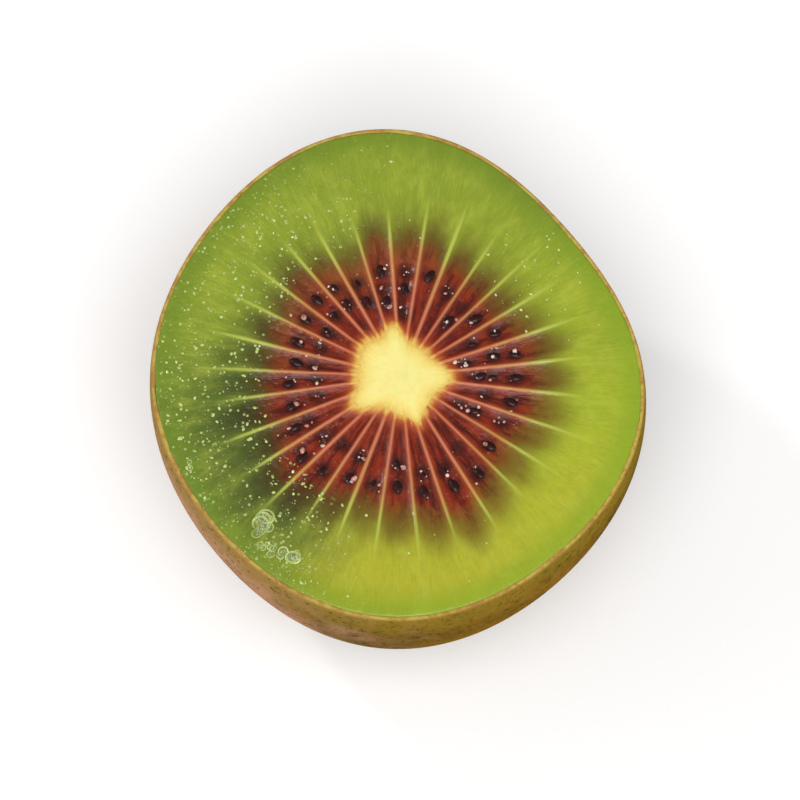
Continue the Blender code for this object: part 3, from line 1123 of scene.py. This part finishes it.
blossom = {
    "padRadius": 1.5 * mm,
    "padThick": 0.45 * mm,
    "padRings": [            # share of its radius, and of its thickness, downwards
        (0.8, 0.02), (1.0, 0.25), (0.98, 0.6), (0.8, 0.95), (0.5, 1.1), (0.25, 0.9), (0.0, 0.85),
    ],
    "styles": 34,
    "styleLength": (1.3 * mm, 2.2 * mm),
    "offGround": 0.12 * mm,  # styles that reach the ground lie along it
    "styleFlat": 0.45,       # they have shrivelled flat
    "hairs": 900,
    "hairLength": (0.35 * mm, 0.95 * mm),
    "hairHalfWidth": 0.018 * mm,
    "hairsFrom": 1.9 * mm,   # from the fruit's axis
    "hairsTo": 13.5 * mm,
    "hairsThin": 9.0 * mm,   # there are fewer past this
    "styleTones": ("2c1c13", "6d4a2c", "94724a"),
    "hairTones": ("8a6538", "c2a061"),
}


def bentRod(name, path, halfWidths, sides=5, flat=1.0):  # a tapered rod, closed at its ends
    rings = []
    turn = np.linspace(0, math.tau, sides + 1)
    for k, (point, half) in enumerate(zip(path, halfWidths)):
        ahead = Vector(path[min(k + 1, len(path) - 1)]) - Vector(path[max(k - 1, 0)])
        sideways = ahead.cross(Vector((0, 1, 0))).normalized()
        other = ahead.cross(sideways).normalized()
        ring = [Vector(point) + half * (math.cos(t) * sideways + flat * math.sin(t) * other) for t in turn]
        rings.append([[p.x - middleX, p.y - middleY, p.z] for p in ring])
    return rollGrid(name, np.array(rings))


def makeStyles():
    dry = random.Random(3)
    rows = 8
    rods = []
    for curl in (0.9, 1.6, 2.4):  # three shapes of curl, each a unit long
        path, widths = [], []
        for k in range(rows + 1):
            t = k / rows
            aside = 0.16 * curl * math.sin(2.6 * t) * t
            thick = 0.075 * (1 - 0.5 * t) * (1 + 0.25 * math.sin(11 * t))
            path.append((aside, 0.07 * math.sin(5 * t + curl), t - 0.12 * curl * t * t))
            widths.append(0.0 if k in (0, rows) else thick)
        rods.append(bentRod("styleShape", path, widths, flat=blossom["styleFlat"]))
    pieces = []
    for number, rod in enumerate(rods):
        places = []
        for k in range(number, blossom["styles"], len(rods)):
            around = math.tau * k / blossom["styles"] + dry.uniform(-0.25, 0.25)
            out = blossom["padRadius"] * (0.25 + 0.6 * dry.random())
            long = dry.uniform(*blossom["styleLength"])
            droop = math.radians(dry.uniform(93, 122))  # from straight up, so they hang outwards
            spot = Matrix.Translation((
                middleX + out * math.cos(around),
                middleY + out * math.sin(around),
                stylesTop - blossom["padThick"] * 0.7,
            ))
            twist = Matrix.Rotation(dry.uniform(-1.2, 1.2), 4, "Z")
            turn = Matrix.Rotation(around, 4, "Z") @ Matrix.Rotation(droop, 4, "Y") @ twist
            places.append(spot @ turn @ Matrix.Scale(long, 4))
        pieces.append(joinCopies("styles", rod, places))

    angle = np.linspace(0, math.tau, 37)
    pad = [coreRing(angle, 0, stylesTop)]
    wobble = 1 + 0.08 * np.sin(5 * angle) + 0.05 * np.sin(11 * angle + 1)
    for share, down in blossom["padRings"]:
        z = stylesTop - blossom["padThick"] * down + 0.05 * mm * np.sin(7 * angle) * share
        pad.append(coreRing(angle, blossom["padRadius"] * share * wobble, z))
    pad = np.array(pad)
    pad[:, :, :2] -= fruit["coreX"], fruit["coreY"]
    pieces.append(rollGrid("pad", pad))

    joined = joinPieces("driedStyles", pieces)
    for vert in joined.data.vertices:
        if vert.co.z < blossom["offGround"] * 2:
            vert.co.z = blossom["offGround"] * (1 + 1 / (3 - vert.co.z / blossom["offGround"]))
    return joined


def stylesFinish():
    finish, tree, shader = newFinish("dryBrownStyles", **{"Specular IOR Level": 0.25})
    place = millimetres(tree)
    cloud = speckle(tree, place, 1.1, 4.0, 0.65)
    fine = speckle(tree, place, 5.0, 2.0, 0.6)
    dark, brown, tan = [colour(code) for code in blossom["styleTones"]]
    base = blendColour(tree, step(tree, cloud, 0.35, 0.65), dark, brown)
    connect(tree, shader, {
        "Base Color": blendColour(tree, step(tree, fine, 0.55, 0.75, 0.0, 0.5), base, tan),
        "Normal": bumps(tree, fine, 0.05 * mm, 0.6),
        "Roughness": step(tree, cloud, 0.3, 0.7, 0.6, 0.85),
    })
    return finish


stylePiece = makeStyles()
stylePiece.data.materials.append(stylesFinish())
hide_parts("dried_styles")
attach(stylePiece, "root")


def makeFuzz():
    path = [(0.0, 0, 0.0), (0.05, 0, 0.33), (0.18, 0, 0.66), (0.38, 0, 0.95)]
    hair = bentRod("hairShape", path, [0.0, 0.05, 0.035, 0.0], sides=3)
    fuzz = random.Random(21)
    share, z, across, up = wallProfile(200)
    places = []
    while len(places) < blossom["hairs"]:
        k = fuzz.randrange(len(share))
        radius = share[k] * meanRadius
        if radius < blossom["hairsFrom"] or radius > blossom["hairsTo"]:
            continue
        thinned = math.exp(-max(radius - blossom["hairsThin"], 0) / (2.5 * mm))
        if fuzz.random() > radius / blossom["hairsTo"] * thinned:
            continue
        if fruit["dimpleRadius"] * 0.9 < radius < fruit["flatRadius"] * 1.12:
            continue
        turn = fuzz.uniform(0, math.tau)
        x, y = outlinePoints(np.array([turn]))
        spot = Vector((x[0] * share[k] + middleX, y[0] * share[k] + middleY, z[k]))
        normal = Vector((across[k] * math.cos(turn), across[k] * math.sin(turn), up[k]))
        outwards = 1 if radius > fruit["flatRadius"] else -0.6
        lean = Vector((math.cos(turn), math.sin(turn), 0)) * outwards
        lean += Vector((fuzz.uniform(-0.6, 0.6), fuzz.uniform(-0.6, 0.6), fuzz.uniform(0.0, 0.5)))
        along = (normal * 0.55 + lean * 0.8).normalized()
        long = fuzz.uniform(*blossom["hairLength"])
        if along.z < 0:
            long = min(long, (spot.z - 0.03 * mm) / -along.z / 1.15)
        if long < 0.12 * mm:
            continue
        thick = blossom["hairHalfWidth"] / 0.05  # the shape's own
        grow = along.to_track_quat("Z", "X").to_matrix().to_4x4()
        rootSpot = Matrix.Translation(spot - normal * 0.02 * mm)
        places.append(rootSpot @ grow @ Matrix.Diagonal((thick, thick, long, 1)))
    return joinCopies("blossomFuzz", hair, places)


def fuzzFinish():
    finish, tree, shader = newFinish("tanFuzz", **{
        "Roughness": 0.6,
        "Specular IOR Level": 0.3,
        "Sheen Weight": 0.2,
    })
    mottle = step(tree, speckle(tree, millimetres(tree), 0.9), 0.35, 0.65)
    tones = [colour(code) for code in blossom["hairTones"]]
    connect(tree, shader, {"Base Color": blendColour(tree, mottle, *tones)})
    return finish


fuzzPiece = makeFuzz()
fuzzPiece.data.materials.append(fuzzFinish())
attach(fuzzPiece, "root")
print("blossom end:", blossom["styles"], "styles and", blossom["hairs"], "hairs")


# Stage, light and camera

view = {"elevation": 71, "distance": 0.90, "lens": 428.5, "aim": (0.0002, 0.0002, 0.021)}

lights = {  # where, how wide, how strong
    "keyLight": ((-0.34, 0.20, 0.46), 0.05, 0.4),
    "leftSoft": ((-0.60, 0.05, 0.32), 0.50, 0.8),
    "rightSoft": ((0.60, -0.05, 0.32), 0.50, 0.9),
    "topSoft": ((0.0, -0.45, 1.0), 0.70, 8.2),
}
worldStrength = 0.34


def makeStage():
    deselect()
    bpy.ops.mesh.primitive_plane_add(size=3.0)
    floor = bpy.context.object
    floor.name = "floor"
    finish = newFinish("palePaper", **{
        "Base Color": (0.94, 0.94, 0.94, 1),
        "Roughness": 0.8,
        "Specular IOR Level": 0.2,
        "Emission Color": (1, 1, 1, 1),
        "Emission Strength": 0.07,
    })[0]
    floor.data.materials.append(finish)


def makeLight():
    world = bpy.data.worlds.new("studio")
    world.use_nodes = True
    background = world.node_tree.nodes["Background"]
    background.inputs["Color"].default_value = (1, 1, 1, 1)
    background.inputs["Strength"].default_value = worldStrength
    bpy.context.scene.world = world
    for name, (place, size, power) in lights.items():
        deselect()
        bpy.ops.object.light_add(type="AREA", location=place)
        light = bpy.context.object
        light.name = name
        light.data.shape = "SQUARE"
        light.data.size = size
        light.data.energy = power
        light.rotation_euler = (Vector(view["aim"]) - Vector(place)).to_track_quat("-Z", "Y").to_euler()
    bpy.context.scene.view_settings.view_transform = "Standard"


def makeCamera():
    tilt = math.radians(view["elevation"])
    away = Vector((0, -math.cos(tilt), math.sin(tilt))) * view["distance"]
    deselect()
    bpy.ops.object.camera_add(location=Vector(view["aim"]) + away)
    camera = bpy.context.object
    camera.data.lens = view["lens"]
    camera.data.clip_start = 0.01
    camera.rotation_euler = (-away).to_track_quat("-Z", "Y").to_euler()
    bpy.context.scene.camera = camera


makeStage()
makeLight()
makeCamera()
print("stage, light and camera set")
